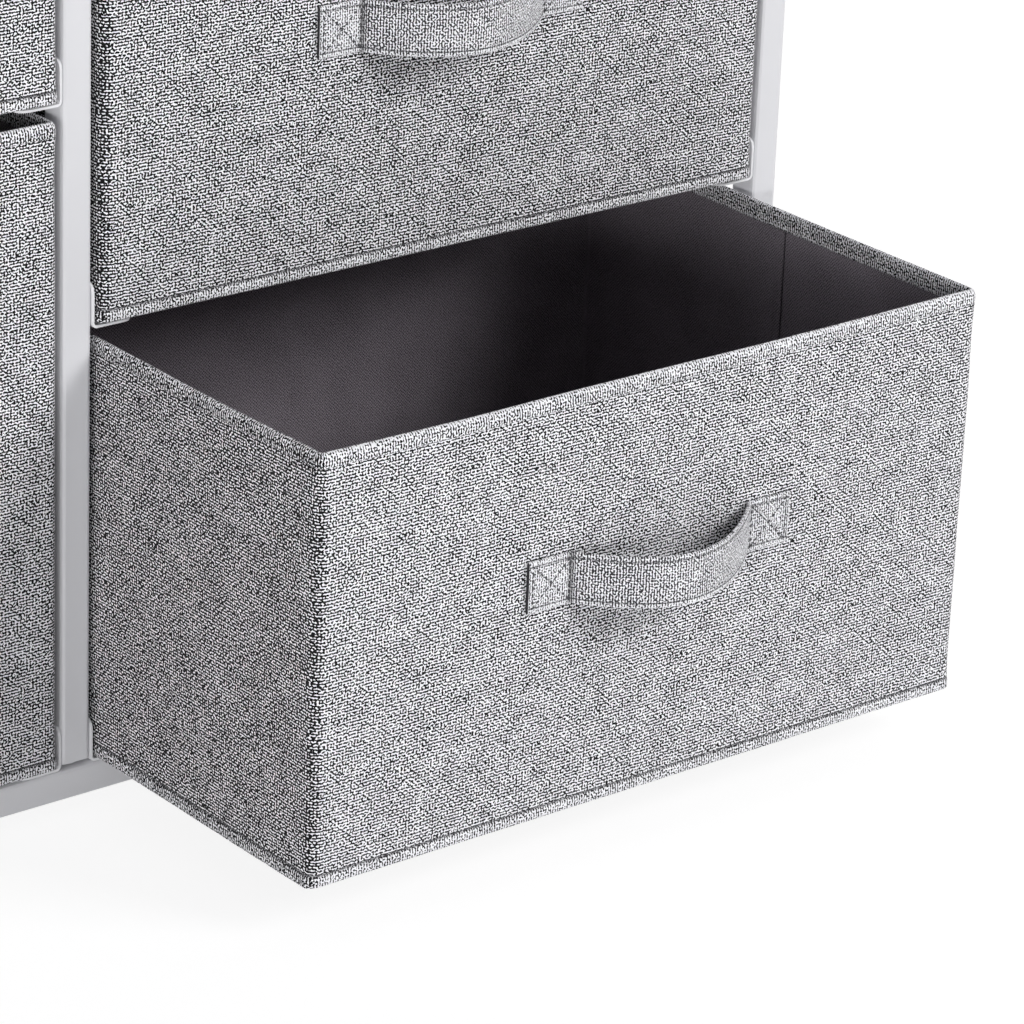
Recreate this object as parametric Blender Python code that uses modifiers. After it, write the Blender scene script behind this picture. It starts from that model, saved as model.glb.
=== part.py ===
"""Storage unit with fabric drawers: a white steel tube frame, sheet metal guides, a top board and five
bins.

Units are metres, +Z is up and the drawers open towards -Y. Three shallow drawers stand on the right and two
deep ones on the left. The lower right drawer is drawn pulled out, the other four are closed.
"""

import math

import bmesh
import bpy
from mathutils import Matrix, Vector

# Whole unit
UNIT_WIDTH = 0.800
UNIT_DEPTH = 0.300
BAY_PITCH = 0.206
SHALLOW_DRAWERS = 3
DEEP_DRAWERS = 2

# Gap kept between two pieces that touch on the real unit
SEAT_GAP = 0.0003

# Points closer than this are one point, and faces that meet at less than this angle look round
WELD_DISTANCE = 0.00002
SMOOTH_ANGLE = math.radians(40.0)

# Square steel tube of the frame
TUBE_SIZE = 0.015
TUBE_WALL = 0.001
TUBE_CORNER_RADIUS = 0.0018
TUBE_CORNER_STEPS = 2

# Round boss on each end of a middle post, which stands on the long rail
BOSS_RADIUS = 0.004
BOSS_HEIGHT = 0.0024
BOSS_BORE_RADIUS = 0.0022
BOSS_ROOT = 0.0005
BOSS_STEPS = 16

# Bolts through the outer posts into the ends of the long rails
BOLT_RADIUS = 0.003
BOLT_HEAD_RADIUS = 0.0056
BOLT_HEAD_HEIGHT = 0.0024
BOLT_SOCKET_RADIUS = 0.0021
BOLT_SOCKET_DEPTH = 0.0014
BOLT_REACH = 0.008
BOLT_STEPS = 12

# Push-in plastic feet
FOOT_HEIGHT = 0.005
FOOT_EDGE = 0.0012
FOOT_PLUG_TO_BOLT = 0.001

# Sheet metal guides, bent to an L
GUIDE_SHEET = 0.0012
GUIDE_LEG_HEIGHT = 0.021
GUIDE_LEG_WIDTH = 0.022
GUIDE_BEND_RADIUS = 0.0024
GUIDE_BEND_STEPS = 4
GUIDE_CORNER_RADIUS = 0.005
GUIDE_CORNER_STEPS = 3

# Top board
BOARD_THICKNESS = 0.012
BOARD_EDGE = 0.0008
BOARD_CORNER_RADIUS = 0.002

# Fabric drawers
DRAWER_SIDE_GAP = 0.0036
DRAWER_TOP_GAP = 0.0055
DRAWER_PROUD = 0.0033
DRAWER_BACK_GAP = 0.0130
DRAWER_WALL = 0.0022
DRAWER_CORNER_RADIUS = 0.0040
DRAWER_CORNER_STEPS = 3
HEM_HEIGHT = 0.0066
HEM_PROUD = 0.0006
HEM_EDGE = 0.0012
RIM_EDGE = 0.0010
RIM_FOLD_DEPTH = 0.0120
RIM_FOLD_THICKNESS = 0.0012
FOLD_STEP = 0.0004
LINING_THICKNESS = 0.0006
BASE_BOARD_THICKNESS = 0.0030
BASE_BOARD_MARGIN = 0.0010

# Strap handles, sewn on by a square patch at each end
STRAP_WIDTH = 0.0240
STRAP_THICKNESS = 0.0018
PATCH_LENGTH = 0.0240
HANDLE_SPAN = 0.1000
HANDLE_BOW = 0.0260
HANDLE_SAG = 0.0015
HANDLE_BELOW_RIM = 0.0850
HANDLE_STEPS = 20

# How far the lower right drawer is pulled out
OPEN_PULL = 0.158

# Heights and places that follow from the sizes above
RAIL_BOTTOM = FOOT_HEIGHT
RAIL_TOP = RAIL_BOTTOM + TUBE_SIZE
BAY_TOTAL = SHALLOW_DRAWERS * BAY_PITCH
TOP_RAIL_BOTTOM = RAIL_TOP + BAY_TOTAL
FRAME_TOP = TOP_RAIL_BOTTOM + TUBE_SIZE
DEEP_PITCH = BAY_TOTAL / DEEP_DRAWERS
POST_SPACING = (UNIT_WIDTH - TUBE_SIZE) / 2
BAY_WIDTH = POST_SPACING - TUBE_SIZE
GUIDE_BASE = RAIL_TOP + SEAT_GAP
DRAWER_BASE = GUIDE_BASE + GUIDE_SHEET + SEAT_GAP
DRAWER_WIDTH = BAY_WIDTH - 2 * DRAWER_SIDE_GAP
DRAWER_FRONT = -DRAWER_PROUD
DRAWER_DEPTH = UNIT_DEPTH - TUBE_SIZE - DRAWER_BACK_GAP - DRAWER_FRONT
PITCH_TO_HEIGHT = SEAT_GAP + GUIDE_SHEET + DRAWER_TOP_GAP
BOLT_HOLE_RADIUS = BOLT_RADIUS + SEAT_GAP
BOLT_LENGTH = TUBE_SIZE + SEAT_GAP + BOLT_REACH
FRONT_REACH = OPEN_PULL + DRAWER_PROUD + SEAT_GAP + HANDLE_BOW + STRAP_THICKNESS
MIDDLE_Y = (UNIT_DEPTH - FRONT_REACH) / 2


def make_material(name, colour, roughness, metallic=0.0):
    """Return a Principled material with one colour."""
    material = bpy.data.materials.new(name)
    material.use_nodes = True
    shader = material.node_tree.nodes["Principled BSDF"]
    shader.inputs["Base Color"].default_value = (*colour, 1.0)
    shader.inputs["Roughness"].default_value = roughness
    shader.inputs["Metallic"].default_value = metallic
    material.diffuse_color = (*colour, 1.0)
    return material


def add_object(name, mesh, collection, material, parent, location=(0.0, 0.0, 0.0),
               rotation=(0.0, 0.0, 0.0)):
    """Put a mesh in the scene under its parent."""
    obj = bpy.data.objects.new(name, mesh)
    collection.objects.link(obj)
    obj.parent = parent
    obj.location = location
    obj.rotation_euler = rotation
    if material is not None:
        mesh.materials.append(material)
    return obj


def mesh_from(bm, name):
    """Turn a bmesh into mesh data with its faces pointing out."""
    bmesh.ops.recalc_face_normals(bm, faces=bm.faces)
    mesh = bpy.data.meshes.new(name)
    bm.to_mesh(mesh)
    bm.free()
    return mesh


def upright_edges(bm):
    """Edges of a box that run along Z."""
    return [e for e in bm.edges if (e.verts[0].co - e.verts[1].co).xy.length < WELD_DISTANCE]


def rounded_prism(bm, width, depth, radius, steps, low, high):
    """Upright box between two heights with its four upright edges rounded."""
    size = Matrix.Diagonal((width, depth, high - low, 1.0))
    bmesh.ops.create_cube(bm, size=1.0, matrix=Matrix.Translation((0.0, 0.0, (low + high) / 2)) @ size)
    bmesh.ops.bevel(bm, geom=upright_edges(bm), offset=radius, segments=steps, profile=0.5, affect="EDGES")


def flat_end(bm, way):
    """The end face of a prism that looks up (way 1) or down (way -1)."""
    bm.normal_update()
    return max(bm.faces, key=lambda face: way * (face.normal.z + face.calc_center_median().z))


def extruded_stack(name, width, depth, radius, steps, levels):
    """Rounded box whose top face is extruded and resized through (height, outward offset) levels."""
    (low, first_offset), (high, second_offset) = levels[:2]
    bm = bmesh.new()
    rounded_prism(bm, width + 2 * first_offset, depth + 2 * first_offset, radius, steps, low, high)
    top = flat_end(bm, 1)
    height, offset = high, first_offset
    steps_up = [(high, second_offset)] + levels[2:]
    for index, (next_height, next_offset) in enumerate(steps_up):
        if index > 0:
            top = bmesh.ops.extrude_discrete_faces(bm, faces=[top])["faces"][0]
        growth_x = (width + 2 * next_offset) / (width + 2 * offset)
        growth_y = (depth + 2 * next_offset) / (depth + 2 * offset)
        bmesh.ops.scale(bm, vec=(growth_x, growth_y, 1.0), verts=top.verts)
        bmesh.ops.translate(bm, vec=(0.0, 0.0, next_height - height), verts=top.verts)
        height, offset = next_height, next_offset
    return mesh_from(bm, name)


def tube_skin(name, length, open_ends):
    """Outer skin of a square tube along Z, centred on its length, with rounded long edges."""
    bm = bmesh.new()
    rounded_prism(bm, TUBE_SIZE, TUBE_SIZE, TUBE_CORNER_RADIUS, TUBE_CORNER_STEPS, -length / 2, length / 2)
    if open_ends:
        bmesh.ops.delete(bm, geom=[flat_end(bm, 1), flat_end(bm, -1)], context="FACES_ONLY")
    return mesh_from(bm, name)


def cylinder_mesh(name, radius, length, steps):
    """Cylinder along Z, centred on its length."""
    bm = bmesh.new()
    bmesh.ops.create_cone(bm, cap_ends=True, segments=steps, radius1=radius, radius2=radius, depth=length)
    return mesh_from(bm, name)


def thicken(obj, thickness, offset):
    """Give an open skin its thickness, outward (offset 1) or inward (offset -1)."""
    sheet = obj.modifiers.new("thickness", "SOLIDIFY")
    sheet.thickness = thickness
    sheet.offset = offset
    sheet.use_even_offset = True


class Builder:
    """Holds the collections, the materials and the empty that everything hangs from."""

    def __init__(self):
        for obj in list(bpy.data.objects):
            bpy.data.objects.remove(obj)
        self.parts = bpy.data.collections.new("fabric_drawer_storage_unit")
        self.cutters = bpy.data.collections.new("cutters")
        bpy.context.scene.collection.children.link(self.parts)
        bpy.context.scene.collection.children.link(self.cutters)
        self.root = self.empty("unit", None, (0.0, -MIDDLE_Y, 0.0))
        self.steel = make_material("white_powder_coat", (0.78, 0.78, 0.80), 0.42)
        self.board = make_material("white_board", (0.83, 0.83, 0.83), 0.38)
        self.plastic = make_material("grey_plastic", (0.42, 0.42, 0.43), 0.55)
        self.zinc = make_material("zinc_bolt", (0.60, 0.60, 0.62), 0.35, 1.0)
        self.fabric = make_material("heather_grey_fabric", (0.37, 0.37, 0.39), 0.92)
        self.lining = make_material("charcoal_lining", (0.035, 0.033, 0.037), 0.95)

    def empty(self, name, parent, location):
        """An axis that pieces hang from."""
        obj = bpy.data.objects.new(name, None)
        obj.empty_display_size = 0.05
        self.parts.objects.link(obj)
        obj.parent = parent
        obj.location = location
        return obj

    def add(self, name, mesh, material, parent=None, location=(0.0, 0.0, 0.0), rotation=(0.0, 0.0, 0.0)):
        """Put a piece of the unit in its collection."""
        return add_object(name, mesh, self.parts, material, parent or self.root, location, rotation)

    def cut(self, target, name, mesh, location, rotation, operation="DIFFERENCE"):
        """Cut or join a target with a helper shape that isn't part of the unit."""
        cutter = add_object(name, mesh, self.cutters, None, target.parent, location, rotation)
        cutter.hide_render = True
        cutter.display_type = "WIRE"
        boolean = target.modifiers.new(name, "BOOLEAN")
        boolean.operation = operation
        boolean.object = cutter
        boolean.solver = "EXACT"

    def tube(self, name, start, end, open_ends=True):
        """Square tube from start to end, two points on its centre line."""
        run = Vector(end) - Vector(start)
        obj = self.add(name, tube_skin(name, run.length, open_ends), self.steel)
        obj.location = (Vector(start) + Vector(end)) / 2
        obj.rotation_euler = run.to_track_quat("Z", "Y").to_euler()
        thicken(obj, TUBE_WALL, -1.0)
        return obj


def smooth_round(mesh):
    """Shade a round piece smooth and keep its corners sharp."""
    mesh.shade_smooth()
    mesh.set_sharp_from_angle(angle=SMOOTH_ANGLE)


def post_x(side):
    """Centre line of a column of posts: side is -1, 0 or 1."""
    return side * POST_SPACING


def tube_y(rear):
    """Centre line of the front or rear tubes."""
    return UNIT_DEPTH - TUBE_SIZE / 2 if rear else TUBE_SIZE / 2


def build_outer_posts(builder):
    """Four posts that reach down to the feet, drilled for the bolts of the long rails."""
    for side, side_name in ((-1, "left"), (1, "right")):
        for rear, row_name in ((False, "front"), (True, "rear")):
            name = f"{side_name}_{row_name}_post"
            x, y = post_x(side), tube_y(rear)
            post = builder.tube(name, (x, y, FOOT_HEIGHT), (x, y, FRAME_TOP))
            for level, level_name in ((RAIL_BOTTOM, "bottom"), (TOP_RAIL_BOTTOM, "top")):
                hole = cylinder_mesh("bolt_hole", BOLT_HOLE_RADIUS, 2 * TUBE_SIZE, BOLT_STEPS)
                builder.cut(post, f"{name}_{level_name}_hole", hole, (x, y, level + TUBE_SIZE / 2),
                            (0.0, math.pi / 2, 0.0))


def build_middle_posts(builder):
    """Two posts between the long rails, each standing on a round boss at either end."""
    low = RAIL_TOP + SEAT_GAP + BOSS_HEIGHT
    high = TOP_RAIL_BOTTOM - SEAT_GAP - BOSS_HEIGHT
    for rear, row_name in ((False, "front"), (True, "rear")):
        name = f"middle_{row_name}_post"
        y = tube_y(rear)
        post = builder.tube(name, (0.0, y, low), (0.0, y, high), open_ends=False)
        for end, way, end_name in ((low, -1, "bottom"), (high, 1, "top")):
            boss = cylinder_mesh("boss", BOSS_RADIUS, BOSS_HEIGHT + BOSS_ROOT, BOSS_STEPS)
            centre = end + way * (BOSS_HEIGHT - BOSS_ROOT) / 2
            builder.cut(post, f"{name}_{end_name}_boss", boss, (0.0, y, centre), (0.0, 0.0, 0.0), "UNION")
            bore = cylinder_mesh("bore", BOSS_BORE_RADIUS, 4 * BOSS_HEIGHT + TUBE_WALL, BOLT_STEPS)
            builder.cut(post, f"{name}_{end_name}_bore", bore, (0.0, y, end), (0.0, 0.0, 0.0))


def build_long_rails(builder):
    """Front and rear rails between the outer posts, closed at the ends and drilled for the bolts."""
    end_x = POST_SPACING - TUBE_SIZE / 2 - SEAT_GAP
    for level, level_name in ((RAIL_BOTTOM, "bottom"), (TOP_RAIL_BOTTOM, "top")):
        for rear, row_name in ((False, "front"), (True, "rear")):
            name = f"{level_name}_{row_name}_rail"
            y, z = tube_y(rear), level + TUBE_SIZE / 2
            rail = builder.tube(name, (-end_x, y, z), (end_x, y, z), open_ends=False)
            for side in (-1, 1):
                hole = cylinder_mesh("bolt_hole", BOLT_HOLE_RADIUS, 2 * TUBE_SIZE, BOLT_STEPS)
                builder.cut(rail, f"{name}_hole_{side + 1}", hole, (side * end_x, y, z),
                            (0.0, math.pi / 2, 0.0))


def build_side_rails(builder):
    """Tubes that run from front to rear between the posts of each column, at the bottom and at the top."""
    start_y = TUBE_SIZE + SEAT_GAP
    end_y = UNIT_DEPTH - TUBE_SIZE - SEAT_GAP
    middle_lift = SEAT_GAP + BOSS_HEIGHT
    for side, side_name in ((-1, "left"), (0, "middle"), (1, "right")):
        lift = middle_lift if side == 0 else 0.0
        base = RAIL_TOP if side == 0 else RAIL_BOTTOM
        crown = TOP_RAIL_BOTTOM - TUBE_SIZE if side == 0 else TOP_RAIL_BOTTOM
        for level, level_name in ((base + lift, "bottom"), (crown - lift, "top")):
            z = level + TUBE_SIZE / 2
            builder.tube(f"{side_name}_{level_name}_side_rail", (post_x(side), start_y, z),
                         (post_x(side), end_y, z))


def bolt_mesh():
    """Button head bolt along Z with its head at the top and a round socket in it, as a turned profile."""
    dome = BOLT_HEAD_HEIGHT / 2
    profile = [
        (0.0, BOLT_HEAD_HEIGHT - BOLT_SOCKET_DEPTH),
        (BOLT_SOCKET_RADIUS, BOLT_HEAD_HEIGHT - BOLT_SOCKET_DEPTH),
        (BOLT_SOCKET_RADIUS, BOLT_HEAD_HEIGHT),
        (BOLT_HEAD_RADIUS - dome, BOLT_HEAD_HEIGHT),
        (BOLT_HEAD_RADIUS, BOLT_HEAD_HEIGHT - dome),
        (BOLT_HEAD_RADIUS, 0.0),
        (BOLT_RADIUS, 0.0),
        (BOLT_RADIUS, -BOLT_LENGTH),
        (0.0, -BOLT_LENGTH),
    ]
    bm = bmesh.new()
    verts = [bm.verts.new((radius, 0.0, height)) for radius, height in profile]
    for first, second in zip(verts, verts[1:]):
        bm.edges.new((first, second))
    mesh = bpy.data.meshes.new("frame_bolt")
    bm.to_mesh(mesh)
    bm.free()
    return mesh


def build_bolts(builder):
    """Eight bolts, with their heads on the outer sides of the outer posts."""
    for side, side_name in ((-1, "left"), (1, "right")):
        for rear, row_name in ((False, "front"), (True, "rear")):
            for level, level_name in ((RAIL_BOTTOM, "bottom"), (TOP_RAIL_BOTTOM, "top")):
                face_x = side * (UNIT_WIDTH / 2 + SEAT_GAP)
                place = (face_x, tube_y(rear), level + TUBE_SIZE / 2)
                bolt = builder.add(f"{side_name}_{row_name}_{level_name}_bolt", bolt_mesh(), builder.zinc,
                                   location=place, rotation=(0.0, side * math.pi / 2, 0.0))
                turn = bolt.modifiers.new("turn", "SCREW")
                turn.steps = BOLT_STEPS
                turn.render_steps = BOLT_STEPS
                turn.use_merge_vertices = True
                turn.merge_threshold = WELD_DISTANCE


def build_feet(builder):
    """Square plastic feet pushed into the lower ends of the outer posts."""
    inner = TUBE_SIZE - 2 * TUBE_WALL - 2 * SEAT_GAP
    plug_inset = (TUBE_SIZE - inner) / 2
    plug_top = RAIL_BOTTOM + TUBE_SIZE / 2 - BOLT_RADIUS - FOOT_PLUG_TO_BOLT
    seat = FOOT_HEIGHT - SEAT_GAP
    levels = [
        (0.0, -FOOT_EDGE),
        (FOOT_EDGE, 0.0),
        (seat, 0.0),
        (seat, -plug_inset),
        (plug_top, -plug_inset),
    ]
    for side, side_name in ((-1, "left"), (1, "right")):
        for rear, row_name in ((False, "front"), (True, "rear")):
            name = f"{side_name}_{row_name}_foot"
            mesh = extruded_stack(name, TUBE_SIZE, TUBE_SIZE, TUBE_CORNER_RADIUS, TUBE_CORNER_STEPS, levels)
            builder.add(name, mesh, builder.plastic, location=(post_x(side), tube_y(rear), 0.0))


def guide_skin(name):
    """Flat blank with round corners, bent along its length to an L, without its thickness.

    The outer corner of the L runs along Y at x = 0, z = 0. One leg points up, the other towards +X.
    """
    arc = GUIDE_BEND_RADIUS * math.pi / 2
    up_flat = GUIDE_LEG_HEIGHT - GUIDE_BEND_RADIUS
    blank = up_flat + arc + GUIDE_LEG_WIDTH - GUIDE_BEND_RADIUS
    middle = Matrix.Translation((blank / 2, UNIT_DEPTH / 2, 0.0))
    place = middle @ Matrix.Diagonal((blank, UNIT_DEPTH, 1.0, 1.0))
    bm = bmesh.new()
    bmesh.ops.create_grid(bm, x_segments=1, y_segments=1, size=0.5, matrix=place)
    bmesh.ops.bevel(bm, geom=bm.verts[:], offset=GUIDE_CORNER_RADIUS, segments=GUIDE_CORNER_STEPS,
                    profile=0.5, affect="VERTICES")
    for step in range(GUIDE_BEND_STEPS + 1):
        line = up_flat + arc * step / GUIDE_BEND_STEPS
        bmesh.ops.bisect_plane(bm, geom=bm.verts[:] + bm.edges[:] + bm.faces[:],
                               plane_co=(line, 0.0, 0.0), plane_no=(1.0, 0.0, 0.0))
    for vert in bm.verts:
        along = vert.co.x
        if along < up_flat:
            vert.co.x, vert.co.z = 0.0, GUIDE_LEG_HEIGHT - along
        elif along > up_flat + arc:
            vert.co.x, vert.co.z = GUIDE_BEND_RADIUS + along - up_flat - arc, 0.0
        else:
            angle = (along - up_flat) / GUIDE_BEND_RADIUS
            vert.co.x = GUIDE_BEND_RADIUS * (1.0 - math.cos(angle))
            vert.co.z = GUIDE_BEND_RADIUS * (1.0 - math.sin(angle))
    mesh = bpy.data.meshes.new(name)
    bm.to_mesh(mesh)
    bm.free()
    return mesh


def drawer_bays():
    """Name, column side, base height and height of each drawer, and how far it stands open."""
    bays = []
    columns = ((-1, "left", DEEP_DRAWERS, DEEP_PITCH), (1, "right", SHALLOW_DRAWERS, BAY_PITCH))
    level_names = {2: ("lower", "upper"), 3: ("lower", "middle", "upper")}
    for side, column_name, count, pitch in columns:
        names = level_names.get(count, [f"level_{index + 1}" for index in range(count)])
        for index in range(count):
            pull = OPEN_PULL if side > 0 and index == 0 else 0.0
            name = f"{column_name}_{names[index]}"
            bays.append((name, side, index * pitch, pitch - PITCH_TO_HEIGHT, pull))
    return bays


def build_guides(builder):
    """A pair of L guides for each drawer, one against the outer posts and one against the middle posts."""
    for name, side, base, _height, _pull in drawer_bays():
        for place, place_name in ((0, "inner"), (1, "outer")):
            face = TUBE_SIZE / 2 if place == 0 else POST_SPACING - TUBE_SIZE / 2
            towards = 1 if place == 0 else -1
            x = side * (face + towards * SEAT_GAP)
            guide = builder.add(f"{name}_guide_{place_name}", guide_skin(f"{name}_guide"), builder.steel,
                                location=(x, 0.0, GUIDE_BASE + base))
            if side * towards < 0:
                guide.rotation_euler = (0.0, 0.0, math.pi)
                guide.location.y = UNIT_DEPTH
            thicken(guide, GUIDE_SHEET, 1.0)


def build_top_board(builder):
    """Board that lies on the frame and covers it edge to edge."""
    levels = [
        (0.0, -BOARD_EDGE),
        (BOARD_EDGE, 0.0),
        (BOARD_THICKNESS - BOARD_EDGE, 0.0),
        (BOARD_THICKNESS, -BOARD_EDGE),
    ]
    mesh = extruded_stack("top_board", UNIT_WIDTH, UNIT_DEPTH, BOARD_CORNER_RADIUS, TUBE_CORNER_STEPS,
                          levels)
    builder.add("top_board", mesh, builder.board, location=(0.0, UNIT_DEPTH / 2, FRAME_TOP + SEAT_GAP))


def shell_mesh(name, height):
    """Fabric bin with a stitched hem round its foot and its rim folded over to the inside."""
    inner = -DRAWER_WALL
    fold = inner - RIM_FOLD_THICKNESS
    levels = [
        (0.0, -HEM_EDGE),
        (HEM_EDGE, HEM_PROUD),
        (HEM_HEIGHT - HEM_PROUD, HEM_PROUD),
        (HEM_HEIGHT, 0.0),
        (height - RIM_EDGE, 0.0),
        (height, -RIM_EDGE),
        (height, fold + RIM_EDGE / 2),
        (height - RIM_EDGE / 2, fold),
        (height - RIM_FOLD_DEPTH, fold),
        (height - RIM_FOLD_DEPTH - FOLD_STEP, inner),
        (DRAWER_WALL, inner),
    ]
    mesh = extruded_stack(name, DRAWER_WIDTH, DRAWER_DEPTH, DRAWER_CORNER_RADIUS, DRAWER_CORNER_STEPS,
                          levels)
    smooth_round(mesh)
    return mesh


def lining_skin(name, height):
    """Open box that lines the bin from its floor up to the folded rim, without its thickness."""
    inset = DRAWER_WALL + SEAT_GAP
    top = height - RIM_FOLD_DEPTH - FOLD_STEP - SEAT_GAP
    bm = bmesh.new()
    rounded_prism(bm, DRAWER_WIDTH - 2 * inset, DRAWER_DEPTH - 2 * inset, DRAWER_CORNER_RADIUS,
                  DRAWER_CORNER_STEPS, inset, top)
    bmesh.ops.delete(bm, geom=[flat_end(bm, 1)], context="FACES_ONLY")
    mesh = mesh_from(bm, name)
    smooth_round(mesh)
    return mesh


def base_board_mesh(name):
    """Stiff board that lies loose on the floor of the bin."""
    inset = DRAWER_WALL + SEAT_GAP + LINING_THICKNESS + BASE_BOARD_MARGIN
    floor = DRAWER_WALL + 2 * SEAT_GAP + LINING_THICKNESS
    bm = bmesh.new()
    radius = DRAWER_CORNER_RADIUS + BASE_BOARD_MARGIN
    rounded_prism(bm, DRAWER_WIDTH - 2 * inset, DRAWER_DEPTH - 2 * inset, radius, DRAWER_CORNER_STEPS, floor,
                  floor + BASE_BOARD_THICKNESS)
    return mesh_from(bm, name)


def handle_skin(name, height):
    """Strap with a flat patch at each end and a slightly sagging bow between, without its thickness."""
    half = HANDLE_SPAN / 2
    centre = height - HANDLE_BELOW_RIM
    bm = bmesh.new()
    bmesh.ops.create_grid(bm, x_segments=1, y_segments=1, size=0.5,
                          matrix=Matrix.Diagonal((HANDLE_SPAN + 2 * PATCH_LENGTH, STRAP_WIDTH, 1.0, 1.0)))
    for step in range(HANDLE_STEPS + 1):
        line = -half + HANDLE_SPAN * step / HANDLE_STEPS
        bmesh.ops.bisect_plane(bm, geom=bm.verts[:] + bm.edges[:] + bm.faces[:],
                               plane_co=(line, 0.0, 0.0), plane_no=(1.0, 0.0, 0.0))
    for vert in bm.verts:
        share = min(max((vert.co.x + half) / HANDLE_SPAN, 0.0), 1.0)
        swell = math.sin(math.pi * share)
        vert.co.z = centre + vert.co.y - HANDLE_SAG * swell
        vert.co.y = -SEAT_GAP - HANDLE_BOW * swell
    mesh = bpy.data.meshes.new(name)
    bm.to_mesh(mesh)
    bm.free()
    return mesh


def build_drawers(builder):
    """Five bins, each with its lining, base board and handle under one empty on its slide axis."""
    for name, side, base, height, pull in drawer_bays():
        front = (side * POST_SPACING / 2, DRAWER_FRONT - pull, DRAWER_BASE + base)
        slide = builder.empty(f"{name}_drawer", builder.root, front)
        middle = (0.0, DRAWER_DEPTH / 2, 0.0)
        shell = shell_mesh(f"{name}_shell", height)
        builder.add(f"{name}_drawer_shell", shell, builder.fabric, slide, middle)
        skin = lining_skin(f"{name}_lining", height)
        lining = builder.add(f"{name}_drawer_lining", skin, builder.lining, slide, middle)
        thicken(lining, LINING_THICKNESS, -1.0)
        board = base_board_mesh(f"{name}_base_board")
        builder.add(f"{name}_drawer_base_board", board, builder.lining, slide, middle)
        strap = handle_skin(f"{name}_handle", height)
        handle = builder.add(f"{name}_drawer_handle", strap, builder.fabric, slide)
        thicken(handle, STRAP_THICKNESS, 1.0)


def main():
    """Build the whole unit."""
    builder = Builder()
    build_outer_posts(builder)
    build_middle_posts(builder)
    build_long_rails(builder)
    build_side_rails(builder)
    build_bolts(builder)
    build_feet(builder)
    build_guides(builder)
    build_top_board(builder)
    build_drawers(builder)


main()
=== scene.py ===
"""Looks of the storage unit: materials, cloth drawers with seams and straps, light and camera."""
import math

import bmesh
import bpy
from mathutils import Matrix, Vector, noise


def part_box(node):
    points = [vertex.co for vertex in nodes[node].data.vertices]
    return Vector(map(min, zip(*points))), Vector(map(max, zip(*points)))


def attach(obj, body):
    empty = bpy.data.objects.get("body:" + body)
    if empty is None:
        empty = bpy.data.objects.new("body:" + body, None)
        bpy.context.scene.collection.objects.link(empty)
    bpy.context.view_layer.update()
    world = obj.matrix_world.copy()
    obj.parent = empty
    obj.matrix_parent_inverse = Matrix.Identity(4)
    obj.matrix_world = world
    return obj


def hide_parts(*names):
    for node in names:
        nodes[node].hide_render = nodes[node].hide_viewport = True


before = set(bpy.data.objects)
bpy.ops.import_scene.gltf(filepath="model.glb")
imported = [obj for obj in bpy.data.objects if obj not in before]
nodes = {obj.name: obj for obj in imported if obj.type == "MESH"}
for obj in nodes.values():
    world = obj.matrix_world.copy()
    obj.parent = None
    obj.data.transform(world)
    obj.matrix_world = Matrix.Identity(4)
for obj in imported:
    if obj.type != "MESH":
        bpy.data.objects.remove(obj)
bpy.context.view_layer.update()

MM = 0.001
scene = bpy.context.scene

DRAWERS = ("left_lower", "left_upper", "right_lower", "right_middle", "right_upper")
OPEN_DRAWER = "right_lower"

# Cloth of the drawers
CLOTH_PLAY = 1.2 * MM  # how much narrower the flat cloth is than its CAD box: room for waves
RIM_CORNER = 4.2 * MM  # radius of the upright corners at the rim
PANEL_CORNER = 5.4 * MM  # and between rim and hem
CORNER_STEPS = 8
SEGMENT = 5.0 * MM  # step of the mesh along a side
SHELL_ROW = 7.0 * MM  # step of the mesh up the shell
LINING_ROW = 9.0 * MM  # and up the lining
HEM = 6.6 * MM
HEM_RAISE = 1.3 * MM  # lift of the front hem's lower edge
RIM_BAND = 6.4 * MM  # the fold over the rim, outside
FOLD = 9.4 * MM  # and inside
WAVE = 0.9 * MM  # slow waves of a panel
RIPPLE = 0.20 * MM
RIM_SAG = 0.9 * MM
RIM_TUCK = 0.5 * MM  # how far the rim's corners draw in
LINING_OFFSET = -3.0 * MM
LINING_FLOOR = 4.0 * MM
LINING_SEAM = 132.0 * MM  # from the front of the drawer
LINING_SEAM_STEPS = 20
BOARD_WAVE = 0.35 * MM
BOARD_EDGE = 5.0 * MM  # width of the strip along a board's edge that waves

# Straps and thread
STRAP_WIDTH = 24.0 * MM
STRAP_THICKNESS = 1.8 * MM
STRAP_STEPS = 48
STRAP_SAG = 2.2 * MM
STRAP_TWIST = 0.4 * MM
STRAP_SEAM = 0.80  # place of its stitches across the strap, from 0 in the middle to 1 at the edge
PATCH = 24.0 * MM
PATCH_STEPS = 8
STITCH = 2.4 * MM
STITCH_GAP = 0.9 * MM
THREAD = 0.45 * MM

# Weave, and how much its share of dark threads shifts, which also paints shade and light on the
# cloth
WEFT_PITCH = 1.43 * MM
WARP_PITCH = 1.58 * MM
LATTICE_PITCH = 1.65 * MM
BAND_STRETCH = 1.05
WEBBING_STRETCH = 1.12
# Painted shade: the left sides are darker, more so within a strip beside the front corner and on
# the hem and rim bands there
SIDE_PAINTED_SHADE = 0.40
CORNER_PAINTED_SHADE = 0.24
CORNER_PAINTED_SHADE_WIDTH = 5.0 * MM
BAND_PAINTED_SHADE = 1.2
# Painted shade: the shut drawers are darker than the open one
CLOSED_PAINTED_SHADE = 0.10
PATCH_PALER = 0.22
# Painted light and shade: the strap is darker at its left and paler at its right
STRAP_PAINTED_SHADING = 0.34

# Rounded look of the edges
TUBE_ROUND = 0.5 * MM
SHEET_ROUND = 0.2 * MM

# Camera, from the fit to the photograph
CAMERA_PLACE = (-1.09391, -1.68927, 0.95849)
CAMERA_LENS = 171.0155
YAW, PITCH, ROLL = math.radians(39.336), math.radians(22.418), math.radians(2.272)


# Materials

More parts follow.
